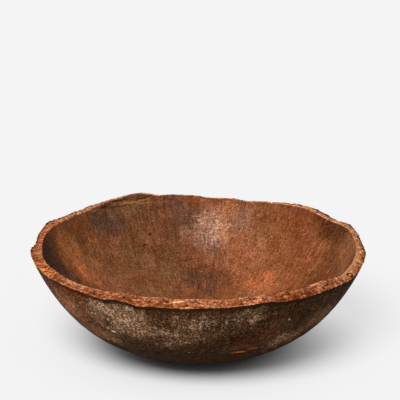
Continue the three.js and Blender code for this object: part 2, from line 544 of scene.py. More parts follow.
def crumble_rim(bowl):
    """Wears the walls a little uneven and tears the rim; where the torn wood sank is kept for the painted
    light and shade of its relief.
    """
    fibres = bpy.data.objects.new("fibres", None)
    bpy.context.scene.collection.objects.link(fibres)
    fibres.scale = (3.2, 1, 1)
    bpy.context.view_layer.update()
    displace(bowl, lumps("hand carving", 60 * MM, 1), 1.6 * MM, 0.62)
    displace(bowl, lumps("torn lumps", 10 * MM, 2), 5 * MM, 0.6, "torn along the fibres", fibres)
    displace(bowl, lumps("broken ends", 7 * MM, 2), 5 * MM, 0.62, "torn fibre ends")
    apply_modifiers(bowl)
    before = [(v.co.copy(), v.normal.copy()) for v in bowl.data.vertices]
    displace(bowl, lumps("torn fibres", 4 * MM, 2, hard=True), 4 * MM, 0.4, "torn along the fibres", fibres)
    displace(bowl, pits("rotted ends", 5 * MM), 3.6 * MM, 0.75, "torn fibre ends")
    displace(bowl, lumps("crumbs", 2.5 * MM, 1), 1.2 * MM, 0.52, "torn along the fibres")
    hollow = bowl.modifiers.new("splits and worm holes", "DISPLACE")
    hollow.strength = -DEEPEST * MM
    hollow.mid_level = 0
    hollow.direction = "Z"
    hollow.vertex_group = "hollows"
    apply_modifiers(bowl)
    bpy.data.objects.remove(fibres)
    broken = bowl.vertex_groups["broken"].index
    depths = []
    torn = []
    for v, (place, normal) in zip(bowl.data.vertices, before):
        depths.append((place - v.co).dot(normal))
        if any(g.group == broken and g.weight > TORN_FROM for g in v.groups):
            torn.append(depths[-1])
    usual = sum(torn) / len(torn)
    sunk = bowl.vertex_groups.new(name="sunk")
    for v, depth in zip(bowl.data.vertices, depths):
        sunk.add([v.index], min(1, max(0, 0.5 + (depth - usual) / SUNK_RANGE)), "REPLACE")


def add_round_rod(middle, direction, sides, radius, length):
    bpy.ops.mesh.primitive_cylinder_add(vertices=sides, radius=radius, depth=length, location=middle)
    rod = bpy.context.object
    rod.rotation_mode = "QUATERNION"
    rod.rotation_quaternion = direction.to_track_quat("Z", "Y")
    apply_place(rod)
    return rod


def peg_place():
    """The middle of the hole's mouth on the broken face, and the way the peg points."""
    across = 1 - PEG_OUT_FROM_INNER_EDGE / (outer_edge(PEG_ANGLE).x - inner_edge(PEG_ANGLE).x)
    direction = around(PEG_TURN) * math.cos(PEG_RISE) + Vector((0, 0, math.sin(PEG_RISE)))
    return face_point(PEG_ANGLE, across), direction


def cut_peg_hole(bowl):
    """Cuts the peg's hole, with its worn wider mouth, out of the body."""
    place, direction = peg_place()
    cutter = add_round_rod(place, direction, HOLE_SIDES, HOLE_MOUTH_RADIUS, 2 * HOLE_MOUTH_DEPTH)
    bottom = place - direction * HOLE_MOUTH_DEPTH
    mesh = edit_faces(cutter)
    for f in mesh.faces:
        f.select = (f.calc_center_median() - bottom).length < NEAR
    bpy.ops.mesh.inset(thickness=HOLE_MOUTH_RADIUS - PEG_RADIUS - PEG_CLEARANCE)
    bpy.ops.mesh.extrude_region_move(TRANSFORM_OT_translate={"value": -direction * (PEG_LENGTH - PEG_SINK)})
    face_all_out()
    stop_editing()
    cut = bowl.modifiers.new("peg hole", "BOOLEAN")
    cut.operation = "DIFFERENCE"
    cut.solver = "EXACT"
    cut.object = cutter
    apply_modifiers(bowl)
    bpy.data.objects.remove(cutter)


def fill_floor(bowl):
    """Closes the middle of the bowl, inside and underneath."""
    for height in (0, FLOOR_THICKNESS):
        edit(bowl)
        bpy.ops.mesh.select_all(action="DESELECT")
        mesh = bmesh.from_edit_mesh(bowl.data)
        for v in mesh.verts:
            v.select = v.is_boundary and abs(v.co.z - height) < FLOOR_THICKNESS / 2
        mesh.select_flush_mode()
        bpy.ops.mesh.edge_face_add()
        for _ in range(FLOOR_RINGS):
            bpy.ops.mesh.inset(thickness=FLOOR_RING_WIDTH)
        bpy.ops.mesh.poke()
        face_all_out()
        stop_editing()


def flatten_foot(bowl):
    """Wears the lowest part of the underside flat, where the bowl stands."""
    mesh = edit(bowl)
    for v in mesh.verts:
        v.select = v.co.z < FOOT_WEAR
    mesh.select_flush_mode()
    bpy.ops.transform.resize(value=(1, 1, 0), center_override=(0, 0, 0))
    stop_editing()


def face_outward(piece):
    """Turns a closed piece's faces outward, judged by its volume."""
    edit(piece)
    face_all_out()
    if bmesh.from_edit_mesh(piece.data).calc_volume(signed=True) < 0:
        bpy.ops.mesh.flip_normals()
    stop_editing()


def trim_to_size(bowl):
    """Flattens the few crumbs that stand out past the bowl's overall size."""
    low, high = CAD_BOX
    for axis in range(2):
        for limit, side in ((low[axis], -1), (high[axis], 1)):
            mesh = edit(bowl)
            for v in mesh.verts:
                v.select = (v.co[axis] - limit) * side > 0
            mesh.select_flush_mode()
            flat = tuple(0 if i == axis else 1 for i in range(3))
            plane = tuple(limit if i == axis else 0 for i in range(3))
            bpy.ops.transform.resize(value=flat, center_override=plane)
            stop_editing()


def keep_zones(bowl):
    """Stores the zones as attributes that the wood's material reads."""
    for zone in ("broken", "inside", "sunk", "hollows"):
        group = bowl.vertex_groups[zone].index
        values = [0.0] * len(bowl.data.vertices)
        for v in bowl.data.vertices:
            for g in v.groups:
                if g.group == group:
                    values[v.index] = g.weight
        attribute = bowl.data.attributes.new("zone_" + zone, "FLOAT", "POINT")
        attribute.data.foreach_set("value", values)


def make_peg():
    """The stub of a round peg, broken off just under the rim's face."""
    place, direction = peg_place()
    length = PEG_LENGTH + PEG_STANDS_UP
    top = place + direction * (PEG_STANDS_UP - PEG_SINK)
    peg = add_round_rod(top - direction * length / 2, direction, PEG_SIDES, PEG_RADIUS, length)
    peg.name = "rim_peg_stub"
    peg.data.name = "rim_peg_stub"
    mesh = edit_faces(peg)
    for f in mesh.faces:
        f.select = (f.calc_center_median() - top).length < NEAR
    for _ in range(PEG_END_RINGS):
        bpy.ops.mesh.inset(thickness=PEG_RADIUS / (PEG_END_RINGS + 1))
    bpy.ops.mesh.poke()
    mesh = bmesh.from_edit_mesh(peg.data)
    end = peg.vertex_groups.new(name="broken end")
    layer = mesh.verts.layers.deform.verify()
    for v in mesh.verts:
        if (v.co - top).dot(direction) > -NEAR and (v.co - top).length < PEG_RADIUS * 0.98:
            v[layer][end.index] = 1
    bmesh.update_edit_mesh(peg.data)
    stop_editing()
    displace(peg, lumps("broken peg end", 1.2 * MM, 1), 0.8 * MM, 0.9, "broken end")
    apply_modifiers(peg)
    bpy.ops.object.shade_smooth_by_angle(angle=PEG_CREASE)
    return peg


def make_bowl():
    cage, outer, face, inner = turn_cage()
    name_zones(cage, face, outer, inner)
    break_rim(cage, outer, face, inner)
    smooth = cage.modifiers.new("round the wall", "SUBSURF")
    smooth.levels = smooth.render_levels = 1
    apply_modifiers(cage)
    fill_floor(cage)
    subdivide_broken(cage)
    cut_peg_hole(cage)
    firm_up_round_peg(cage)
    mark_hollows(cage)
    crumble_rim(cage)
    flatten_foot(cage)
    lighter = cage.modifiers.new("fewer triangles on the plain walls", "DECIMATE")
    lighter.ratio = KEPT_SHARE
    apply_modifiers(cage)
    trim_to_size(cage)
    face_outward(cage)
    keep_zones(cage)
    deselect_all()
    cage.select_set(True)
    bpy.context.view_layer.objects.active = cage
    bpy.ops.object.shade_smooth_by_angle(angle=BOWL_CREASE)
    return cage


# Materials

def colour(red, green, blue):
    """A colour given as it looks on a screen, 0 to 255."""
    parts = [c / 255 for c in (red, green, blue)]
    return tuple(c / 12.92 if c <= 0.04045 else ((c + 0.055) / 1.055) ** 2.4 for c in parts) + (1,)


class Paintbox:
    """Short words for laying a procedural material together."""

    def __init__(self, name):
        self.material = bpy.data.materials.new(name)
        self.material.use_nodes = True
        self.tree = self.material.node_tree
        self.shader = self.tree.nodes["Principled BSDF"]

    def put(self, socket, value):
        if isinstance(value, bpy.types.NodeSocket):
            self.tree.links.new(value, socket)
        else:
            socket.default_value = value

    def node(self, kind, *values, **settings):
        made = self.tree.nodes.new("ShaderNode" + kind)
        for name, value in settings.items():
            setattr(made, name, value)
        for socket, value in zip(made.inputs, values):
            if value is not None:
                self.put(socket, value)
        return made

    def math(self, operation, *values):
        return self.node("Math", *values, operation=operation).outputs[0]

    def vector(self, operation, *values):
        return self.node("VectorMath", *values, operation=operation)

    def attribute(self, name):
        return self.node("Attribute", attribute_name=name).outputs["Fac"]

    def noise(self, where, size, detail=2, rough=0.5, warp=0.0):
        made = self.node("TexNoise", where)
        made.inputs["Scale"].default_value = 1 / size
        made.inputs["Detail"].default_value = detail
        made.inputs["Roughness"].default_value = rough
        made.inputs["Distortion"].default_value = warp
        return made.outputs["Fac"]

    def cells(self, where, size, feature="F1"):
        made = self.node("TexVoronoi", where, feature=feature)
        made.inputs["Scale"].default_value = 1 / size
        return made.outputs["Distance"]

    def flecks(self, where, size):
        """A random value for each small cell."""
        made = self.node("TexVoronoi", where, feature="F1")
        made.inputs["Scale"].default_value = 1 / size
        return self.node("SeparateColor", made.outputs["Color"]).outputs[0]

    def ramp(self, value, low, high, to_low=0.0, to_high=1.0):
        """Eases from one value to another while the input goes from low to high."""
        made = self.node("MapRange", value, low, high, to_low, to_high, interpolation_type="SMOOTHSTEP")
        return made.outputs["Result"]

    def stretch(self, where, x, y, z):
        return self.vector("MULTIPLY", where, (x, y, z)).outputs[0]

    def moved(self, where, shift):
        return self.vector("ADD", where, shift).outputs[0]

    def turned(self, where, degrees):
        """Turns a place about the front-to-back direction: stretched marks then run aslant in front."""
        made = self.node("VectorRotate", where, rotation_type="Y_AXIS")
        made.inputs["Angle"].default_value = math.radians(degrees)
        return made.outputs[0]

    def blend(self, share, under, over):
        made = self.tree.nodes.new("ShaderNodeMix")
        made.data_type = "RGBA"
        self.put(made.inputs[0], share)
        self.put(made.inputs[6], under)
        self.put(made.inputs[7], over)
        return made.outputs[2]

    def tint(self, under, other):
        """Multiplies two colours."""
        return self.vector("MULTIPLY", under, other).outputs[0]

    def scaled(self, under, strength):
        """Multiplies a colour or a place by one strength."""
        made = self.node("VectorMath", under, operation="SCALE")
        self.put(made.inputs["Scale"], strength)
        return made.outputs[0]

    def chain(self, operation, values):
        result = values[0]
        for value in values[1:]:
            result = self.math(operation, result, value)
        return result

    def product(self, *values):
        return self.chain("MULTIPLY", values)

    def total(self, *values):
        return self.chain("ADD", values)

    def highest(self, *values):
        return self.chain("MAXIMUM", values)

    def deepen(self, under, strength, steps=(0.9, 1.15, 1.45)):
        """Makes a colour lighter or darker; the darker it is, the redder."""
        parts = [self.math("POWER", strength, step) for step in steps]
        return self.tint(under, self.node("CombineXYZ", *parts).outputs[0])

    def patches(self, under, where, marks):
        """Lays soft marks over a colour."""
        for centre, size, other, strength in marks:
            share = self.product(self.spot(where, centre, size), strength)
            under = self.blend(share, under, colour(*other))
        return under

    def spot(self, where, centre, size):
        """A soft patch: 1 in its middle, 0 beyond its half sizes."""
        away = self.vector("SUBTRACT", where, tuple(c * MM for c in centre)).outputs[0]
        away = self.vector("DIVIDE", away, tuple(c * MM for c in size)).outputs[0]
        return self.ramp(self.vector("LENGTH", away).outputs["Value"], 1, 0.3)

    def roughen(self, height, strength, distance):
        """Gives the surface a fine relief."""
        bump = self.node("Bump")
        bump.inputs["Strength"].default_value = strength
        bump.inputs["Distance"].default_value = distance
        self.put(bump.inputs["Height"], height)
        self.put(self.shader.inputs["Normal"], bump.outputs[0])


# Marks inside the bowl: middle and half sizes in millimetres, colour, strength
INSIDE_MARKS = [
    ((-60, 60, 60), (120, 140, 90), (118, 75, 45), 0.8),  # the left half is a shade more olive
    ((110, 100, 85), (80, 90, 70), (137, 77, 42), 0.85),  # the right half redder
    ((30, 146, 84), (66, 46, 50), (150, 96, 64), 0.75),  # lighter towards the back
    ((44, 130, 60), (36, 40, 30), (150, 90, 56), 0.7),
    ((-14, 161, 98), (28, 28, 26), (94, 63, 44), 0.85),
    ((-30, 136, 64), (42, 40, 26), (98, 61, 36), 0.75),
    ((-2, 112, 40), (42, 40, 20), (87, 55, 36), 0.8),
    ((16, 140, 66), (24, 30, 22), (118, 76, 52), 0.6),
    ((-112, 132, 108), (40, 42, 32), (82, 60, 44), 0.9),  # blue-grey patch
    ((-88, 150, 116), (34, 26, 12), (94, 68, 48), 0.6),
    ((-58, 156, 98), (40, 30, 34), (104, 67, 44), 0.65),
    ((-22, 167, 114), (30, 20, 14), (92, 62, 44), 0.8),
    ((-80, 156, 116), (60, 34, 12), (116, 80, 50), 0.8),
    ((-100, 118, 80), (20, 20, 14), (126, 76, 50), 0.5),
    ((-120, 80, 56), (34, 34, 26), (146, 90, 54), 0.7),
    ((-148, 62, 86), (40, 28, 54), (164, 102, 58), 0.85),  # the light streak beside the dark left wall
    ((-130, 60, 66), (30, 20, 34), (184, 108, 60), 0.85),
    # painted shade on the upper left wall, just under the rim
    ((-172, 8, 96), (26, 56, 60), (84, 60, 46), 1.0),
    ((-153, 20, 78), (26, 26, 38), (84, 60, 46), 0.95),
    # the polished patch: a lighter tone that is partly its own colour and partly painted sheen
    ((18, 158, 88), (20, 26, 40), (160, 106, 73), 0.55),  # polished patch
    ((30, 160, 94), (16, 24, 36), (170, 103, 60), 0.8),
    ((72, 128, 66), (24, 28, 18), (154, 98, 64), 0.6),
    ((14, 142, 68), (24, 20, 16), (122, 78, 52), 0.5),
    ((-46, 118, 50), (38, 28, 14), (120, 77, 49), 0.6),
    ((126, 112, 106), (22, 30, 32), (118, 66, 36), 0.5),
    ((68, 158, 112), (16, 20, 14), (160, 100, 64), 0.6),
    ((-10, 154, 82), (26, 14, 4), (156, 108, 82), 0.5),
    ((50, 158, 97), (24, 24, 18), (136, 98, 74), 0.75),  # grey patch
    ((72, 96, 42), (44, 36, 22), (172, 100, 58), 0.85),  # warm patch low on the right
    ((112, 70, 46), (34, 30, 20), (146, 84, 47), 0.7),
    ((70, 60, 24), (60, 50, 20), (160, 96, 60), 0.5),
    ((-90, 60, 40), (40, 40, 24), (146, 90, 56), 0.5),
    ((150, 88, 115), (44, 46, 18), (80, 43, 23), 0.85),
    ((166, 54, 118), (16, 26, 12), (92, 56, 34), 0.7),
    ((112, 132, 118), (28, 24, 10), (108, 60, 34), 0.6),
    ((170, 15, 104), (24, 48, 42), (158, 103, 66), 0.75),
    ((30, 130, 56), (26, 22, 12), (120, 74, 44), 0.6),
    ((63, 104, 45), (5, 5, 3.5), (76, 43, 26), 0.9),
    ((53, 117, 52), (4, 4, 3.5), (88, 50, 30), 0.8),
]

# Fine cracks, scratches and split layers inside, and painted glints on the polished patch: middle, half
# sizes, colour, strength
INSIDE_SCRATCHES = [
    ((-14, 133, 56), (14, 4, 1.2), (66, 34, 20), 0.8),
    ((-3, 119, 43), (1.2, 8, 5), (54, 30, 20), 0.9),
    ((0, 102, 33), (1.2, 12, 6), (54, 30, 20), 0.9),
    ((8, 106, 36), (1.2, 12, 6), (160, 96, 62), 0.8),
    ((-8, 148, 74), (13, 4, 1), (70, 40, 26), 0.6),
    ((-34, 159, 91), (8, 5, 1), (72, 42, 28), 0.5),
    # pale streaks on the polished patch: painted glints of its sheen
    ((19, 157, 87), (12, 5, 1), (204, 160, 130), 0.6),
    ((6, 158, 81), (10, 4, 1), (196, 150, 120), 0.6),
    ((26, 158, 93), (1.3, 5, 8), (206, 164, 134), 0.5),
    ((22, 150, 75), (3, 5, 5), (60, 34, 24), 0.8),
    ((-58, 146, 83), (3.5, 4, 2.5), (52, 30, 20), 0.9),
    ((-64, 136, 73), (5, 4, 2), (62, 34, 20), 0.9),
    ((-56, 136, 70), (3, 4, 1.6), (56, 32, 20), 0.8),
    ((-74, 125, 67), (1.2, 5, 3.5), (56, 34, 22), 0.8),
    ((-111, 140, 121), (12, 10, 1.5), (42, 27, 18), 0.9),
    ((-92, 153, 123.5), (24, 14, 1.4), (54, 35, 20), 0.9),
    ((-66, 166, 123), (18, 10, 1.3), (48, 30, 18), 0.95),
    ((-78, 160, 120), (30, 16, 1.3), (176, 120, 68), 0.8),
    ((-66, 164, 116.5), (22, 10, 1.2), (168, 112, 66), 0.6),
    ((-126, 127, 120), (14, 14, 1.3), (150, 96, 56), 0.7),
    ((-100, 148, 118.5), (22, 16, 1.3), (66, 46, 30), 0.8),
]

# Marks on the broken face, in the same way
RIM_MARKS = [
    ((0, -184, 117), (80, 24, 24), (178, 112, 74), 0.7),
    ((-95, -155, 117), (50, 45, 30), (146, 84, 50), 0.8),
    ((92, -160, 115), (44, 44, 26), (154, 86, 48), 0.8),
    ((140, -112, 114), (20, 20, 20), (150, 88, 52), 0.7),
    ((90, -164, 113), (9, 9, 9), (92, 48, 28), 0.9),
    ((-146, -100, 118), (18, 18, 10), (124, 68, 36), 0.8),
    ((62, -172, 118), (30, 14, 6), (206, 138, 96), 0.6),
    ((190, 0, 110), (8, 60, 30), (110, 62, 40), 0.8),
    ((-62, -178, 114), (6, 6, 3), (240, 190, 148), 0.9),
    ((52, -178, 112), (14, 8, 3), (70, 34, 15), 0.85),
    ((100, -150, 113), (12, 14, 8), (98, 50, 27), 0.8),
    ((122, -137, 112), (10, 12, 8), (110, 57, 30), 0.8),
    ((180, 15, 116), (34, 90, 40), (200, 126, 76), 0.7),
    ((-176, 40, 118), (34, 80, 40), (184, 103, 63), 0.8),
    ((-165, -70, 114), (40, 60, 30), (188, 104, 52), 0.7),
    ((-120, 135, 122), (80, 60, 30), (190, 130, 88), 0.8),
]

# Marks outside, in the same way
OUTSIDE_MARKS = [
    ((-140, -100, 80), (60, 90, 60), (112, 70, 42), 0.85),
    ((-146, -92, 80), (30, 40, 24), (136, 92, 60), 0.85),
    ((-102, -113, 52), (36, 24, 18), (118, 82, 54), 0.85),
    ((-139, -125, 108), (56, 56, 14), (104, 54, 22), 0.7),
    ((-70, -148, 82), (90, 50, 38), (104, 76, 52), 0.8),
    ((-84, -148, 90), (56, 44, 32), (138, 102, 74), 0.85),
    ((-50, -155, 75), (60, 36, 14), (112, 82, 58), 0.8),
    ((-70, -128, 46), (40, 30, 12), (62, 40, 24), 0.8),
    ((-102, -138, 80), (14, 18, 9), (50, 33, 21), 0.9),
    ((0, -176, 90), (70, 28, 34), (84, 57, 36), 0.85),
    ((20, -174, 88), (14, 20, 14), (60, 35, 17), 0.8),
    ((-36, -173, 90), (20, 14, 14), (64, 42, 26), 0.65),
    ((56, -152, 66), (24, 24, 13), (58, 27, 11), 0.9),
    ((107, -135, 83), (16, 16, 10), (50, 29, 13), 0.7),
    ((57, -172, 98), (40, 22, 14), (96, 72, 50), 0.8),
    ((84, -143, 68), (40, 34, 20), (76, 48, 29), 0.8),
    ((66, -150, 70), (12, 24, 22), (76, 36, 16), 0.8),
    ((52, -140, 52), (22, 24, 12), (86, 46, 22), 0.8),
    ((110, -138, 104), (60, 48, 20), (52, 30, 11), 0.9),
    ((100, -138, 82), (24, 20, 12), (56, 32, 16), 0.8),
    ((96, -112, 50), (44, 34, 18), (102, 72, 48), 0.85),
    ((134, -98, 68), (38, 36, 22), (104, 71, 46), 0.8),
    ((0, -130, 26), (150, 70, 34), (46, 28, 13), 0.9),
]

# Where the outside is scuffed pale: middle, half sizes, strength
SCUFFS = [
    ((-88, -150, 92), (60, 50, 30), 1.0),
    ((-66, -152, 78), (50, 34, 16), 0.9),
    ((-32, -160, 74), (52, 30, 9), 0.85),
    ((0, -178, 90), (30, 24, 18), 0.9),
    ((34, -176, 92), (16, 20, 9), 0.8),
    ((58, -168, 93), (30, 22, 11), 0.9),
    ((82, -158, 100), (12, 16, 7), 0.7),
    ((98, -118, 54), (44, 34, 16), 0.7),
    ((-8, -141, 44), (3, 3, 2.5), 1.5),
]

# Small pale chips outside: middle, half sizes, colour, strength
CHIPS = [
    ((-92, -132, 66), (6, 5, 2), (226, 186, 146), 1.0),
    ((-98, -130, 70), (4, 4, 1.6), (190, 150, 114), 0.9),
    ((30, -176, 92), (1.2, 4, 6), (190, 160, 130), 0.8),
    ((98, -142, 84), (3, 4, 2), (176, 150, 124), 0.8),
    ((44, -132, 42), (13, 6, 1.8), (190, 100, 46), 0.9),
    ((58, -130, 46), (10, 6, 1.2), (170, 88, 40), 0.8),
    ((-24, -180, 100), (5, 4, 1.6), (168, 128, 90), 0.8),
]


class BowlWood(Paintbox):
    """The bowl's wood: worn inside, dark and scuffed outside, raw on the broken face."""

    def __init__(self):
        super().__init__("old_bowl_wood")
        self.place = self.node("TexCoord").outputs["Object"]
        wander = self.node("TexNoise", self.place)
        wander.inputs["Scale"].default_value = 40
        wander.inputs["Detail"].default_value = 6
        wander.inputs["Roughness"].default_value = 0.65
        shift = self.vector("SUBTRACT", wander.outputs["Color"], (0.5, 0.5, 0.5)).outputs[0]
        slight_shift = self.scaled(shift, 0.012)
        self.strayed = self.moved(self.place, self.scaled(shift, 0.06))
        self.nudged = self.moved(self.place, slight_shift)

        # lines that run up the wall: constant along a meridian
        flat = self.stretch(self.place, 1, 1, 0)
        radius = self.vector("LENGTH", flat).outputs["Value"]
        heading = self.vector("NORMALIZE", flat).outputs[0]
        rise = self.node("CombineXYZ", 0.0, 0.0, self.product(radius, 0.12)).outputs[0]
        up_wall = self.moved(self.moved(self.scaled(heading, 0.17), rise), slight_shift)
        # and lines that run round it
        fall = self.total(radius, self.node("SeparateXYZ", self.place).outputs[2])
        fall = self.node("CombineXYZ", 0.0, 0.0, fall).outputs[0]
        self.round_wall = self.moved(self.moved(self.scaled(heading, 0.025), fall), slight_shift)
        self.to_right, self.to_back = self.node("SeparateXYZ", heading).outputs[:2]

        # patterns from the broadest to the finest
        self.broad = self.noise(self.place, 0.040, 3, 0.55, 0.4)
        self.cloudy = self.noise(self.strayed, 0.014, 4, 0.6)
        self.mottled = self.noise(self.strayed, 0.0065, 3, 0.65)
        self.grain = self.noise(self.place, 0.0030, 3, 0.8)
        self.lines = self.noise(up_wall, 0.0032, 3, 0.7)
        self.fine_lines = self.noise(up_wall, 0.0015, 1, 0.5)
        self.speck = self.noise(self.place, 0.0016, 1, 0.5)
        self.fleck = self.flecks(self.nudged, 0.0016)
        self.dust = self.flecks(self.place, 0.0012)
        self.threads = self.flecks(up_wall, 0.0012)

        # where the wood is inside, broken, sunk below the broken face, or bored and split
        self.inside = self.attribute("zone_inside")
        self.broken = self.attribute("zone_broken")
        self.sunk = self.attribute("zone_sunk")
        self.hollow = self.attribute("zone_hollows")

    def stray(self, pattern, amount):
        """How far a pattern lies above its middle, times an amount."""
        return self.product(self.math("SUBTRACT", pattern, 0.5), amount)

    def uneven(self, *patterns):
        """A strength round 1 from patterns, each with the low value it counts from and its share."""
        parts = [self.ramp(p, low, 1 - low, 1 - share, 1 + share) for p, low, share in patterns]
        return self.product(*parts)

    def polished(self):
        """Where the inside has kept its polish: one place at the back, crazed and scratched."""
        crackle = self.cells(self.nudged, 0.006, "DISTANCE_TO_EDGE")
        polish = self.product(
            self.spot(self.strayed, (16, 156, 84), (30, 34, 46)),
            self.ramp(crackle, 0.02, 0.12, 0.1, 1),
            self.ramp(self.grain, 0.35, 0.6, 0.1, 1.2),
        )
        near_by = self.spot(self.strayed, (16, 156, 82), (40, 34, 44))
        crazing = self.product(near_by, self.ramp(crackle, 0.05, 0.0), 0.7)
        return polish, crazing

    def worn_inside(self, polish, crazing):
        """Red-brown wood, patched olive, grey and warm, with scratches and small spots, painted shade on the
        upper left wall and painted glints on the polished patch.
        """
        hue = self.noise(self.stretch(self.place, 0.6, 1, 1.4), 0.030, 2, 0.5, 0.3)
        hue = self.blend(self.ramp(hue, 0.3, 0.7), (0.95, 1.02, 1.06, 1), (1.05, 0.99, 1.08, 1))
        wood = self.blend(self.ramp(self.broad, 0.3, 0.7), colour(103, 62, 34), colour(134, 76, 42))
        wood = self.patches(wood, self.strayed, INSIDE_MARKS)
        wood = self.tint(wood, hue)
        long_fibres = self.noise(self.stretch(self.place, 0.12, 1, 1), 0.0018, 3, 0.65)
        strength = self.uneven(
            (self.cloudy, 0.2, 0.2),
            (self.mottled, 0.2, 0.08),
            (self.lines, 0.2, 0.22),
            (long_fibres, 0.2, 0.14),
            (self.speck, 0.2, 0.2),
            (self.dust, 0, 0.34),
            (self.threads, 0, 0.2),
        )
        wood = self.deepen(wood, strength)
        wood = self.patches(wood, self.nudged, INSIDE_SCRATCHES)
        scraped = self.highest(
            self.spot(self.strayed, (140, 70, 88), (50, 60, 34)),
            self.spot(self.strayed, (-140, 70, 84), (50, 60, 44)),
        )
        scratch = self.product(
            self.ramp(self.fine_lines, 0.58, 0.7),
            self.ramp(self.cloudy, 0.42, 0.6),
            self.total(self.product(scraped, 0.75), 0.15),
        )
        wood = self.blend(scratch, wood, colour(206, 138, 92))
        dark_dots = self.ramp(self.cells(self.place, 0.011), 0.13, 0.06)
        wood = self.blend(self.product(dark_dots, 0.5), wood, colour(54, 30, 18))
        pale_dots = self.ramp(self.cells(self.turned(self.place, 70), 0.017), 0.06, 0.03)
        wood = self.blend(self.product(pale_dots, 0.7), wood, colour(214, 168, 126))
        # painted glints: pale flecks on the polished patch
        glint = self.product(polish, self.ramp(self.highest(self.dust, self.threads), 0.75, 1), 0.5)
        wood = self.blend(glint, wood, colour(222, 182, 152))
        return self.blend(crazing, wood, colour(70, 42, 30))

    def scuffed(self, hoops):
        """How far the outside is scuffed pale, in short strokes and dust."""
        ticks = self.noise(self.stretch(self.turned(self.place, 30), 0.35, 1, 1), 0.0015, 1, 0.6)
        tacks = self.noise(self.stretch(self.turned(self.place, -40), 0.35, 1, 1), 0.0015, 1, 0.6)
        worn = [self.product(self.spot(self.strayed, place, size), share) for place, size, share in SCUFFS]
        pale = self.total(
            self.product(self.highest(ticks, tacks, hoops), 0.6),
            self.product(self.dust, 0.22),
            self.product(self.threads, 0.18),
            self.product(self.math("SUBTRACT", self.highest(*worn), 1), 0.26),
        )
        return self.ramp(pale, 0.42, 0.66)

    def dark_outside(self, scuffed, hoops):
        """Dark brown wood with pale scuffs, cracks, chips, and under the torn edge a dark band of crusted
        wood and painted shadow under the lip.
        """
        wood = self.blend(self.ramp(self.broad, 0.3, 0.7), colour(46, 28, 12), colour(62, 39, 20))
        wood = self.patches(wood, self.strayed, OUTSIDE_MARKS)
        rusty = self.ramp(self.noise(self.stretch(self.strayed, 0.7, 1, 1), 0.011, 3, 0.6), 0.4, 0.6)
        wood = self.tint(wood, self.blend(rusty, (0.94, 1.0, 1.03, 1), (1.12, 0.98, 0.88, 1)))
        strength = self.uneven(
            (self.cloudy, 0.2, 0.24),
            (self.mottled, 0.2, 0.16),
            (self.grain, 0.25, 0.36),
            (self.speck, 0.2, 0.45),
            (self.dust, 0, 0.64),
            (self.fleck, 0, 0.24),
            (self.threads, 0, 0.3),
            (hoops, 0.25, 0.3),
        )
        wood = self.deepen(wood, strength, (0.95, 1.1, 1.3))
        dusty = self.blend(self.ramp(self.fleck, 0.3, 1), colour(132, 92, 62), colour(236, 204, 172))
        wood = self.blend(self.product(scuffed, 0.7), wood, dusty)
        cracks = self.product(
            self.ramp(self.cells(self.nudged, 0.013, "DISTANCE_TO_EDGE"), 0.05, 0.0),
            self.ramp(self.cloudy, 0.45, 0.6),
            0.8,
        )
        wood = self.blend(cracks, wood, colour(26, 15, 8))
        wood = self.patches(wood, self.nudged, CHIPS)
        # a dark band under the torn edge: partly crusted wood, partly painted shadow under the overhanging
        # lip
        near_edge = self.total(self.broken, self.stray(self.mottled, 0.25))
        crust_and_lip_shadow = self.product(self.ramp(near_edge, 0.02, 0.12), self.ramp(self.to_right, -0.95, -0.75), 0.75)
        return self.blend(crust_and_lip_shadow, wood, colour(38, 22, 11))

    def raw_face(self):
        """Orange-brown broken wood in flakes, paler on the inner half, with painted shade where it sank or
        was bored and painted highlights on its raised crumbs.
        """
        wood = self.blend(self.ramp(self.cloudy, 0.35, 0.65), colour(154, 88, 47), colour(190, 119, 75))
        wood = self.blend(self.ramp(self.mottled, 0.5, 0.7), wood, colour(207, 147, 108))
        across = self.blend(self.ramp(self.inside, 0.1, 0.9), colour(168, 91, 49), colour(209, 145, 106))
        wood = self.blend(0.5, wood, across)
        wood = self.patches(wood, self.strayed, RIM_MARKS)
        wood = self.scaled(wood, self.ramp(self.math("ABSOLUTE", self.to_right), 0.6, 0.95, 1.14, 0.96))
        splinters = self.noise(self.stretch(self.nudged, 0.3, 1, 1), 0.0026, 3, 0.75, 0.3)
        # the last factor is painted light and shade of the torn face's relief: lighter where it stands up,
        # darker where it sank
        strength = self.product(
            self.uneven((self.cloudy, 0.2, 0.26), (self.speck, 0.2, 0.26)),
            self.uneven((self.dust, 0, 0.34), (self.fleck, 0, 0.3)),
            self.ramp(splinters, 0.25, 0.75, 0.5, 1.42),
            self.ramp(self.sunk, 0.3, 0.7, 1.28, 0.56),
        )
        wood = self.deepen(wood, strength, (0.85, 1.15, 1.45))
        # painted highlights on the raised crumbs of the torn face
        crumb_highlights = self.product(self.ramp(self.dust, 0.92, 0.98), self.ramp(self.sunk, 0.6, 0.4, 0, 0.25))
        wood = self.blend(crumb_highlights, wood, colour(232, 176, 134))
        wood = self.blend(self.product(self.ramp(self.dust, 0.1, 0.03), 0.5), wood, colour(80, 38, 16))
        # flakes with dark gaps between them
        flakes = self.cells(self.stretch(self.nudged, 0.28, 1, 1), 0.0052, "DISTANCE_TO_EDGE")
        gaps = self.product(self.ramp(flakes, 0.1, 0.0), self.ramp(self.mottled, 0.4, 0.55), 0.85)
        wood = self.blend(gaps, wood, colour(62, 28, 12))
        # painted shade in the deepest sunk places, and in the splits and worm holes
        wood = self.blend(self.ramp(self.sunk, 0.75, 0.92), wood, colour(56, 26, 11))
        wood = self.blend(self.ramp(self.hollow, 0.1, 0.4), wood, colour(38, 18, 8))
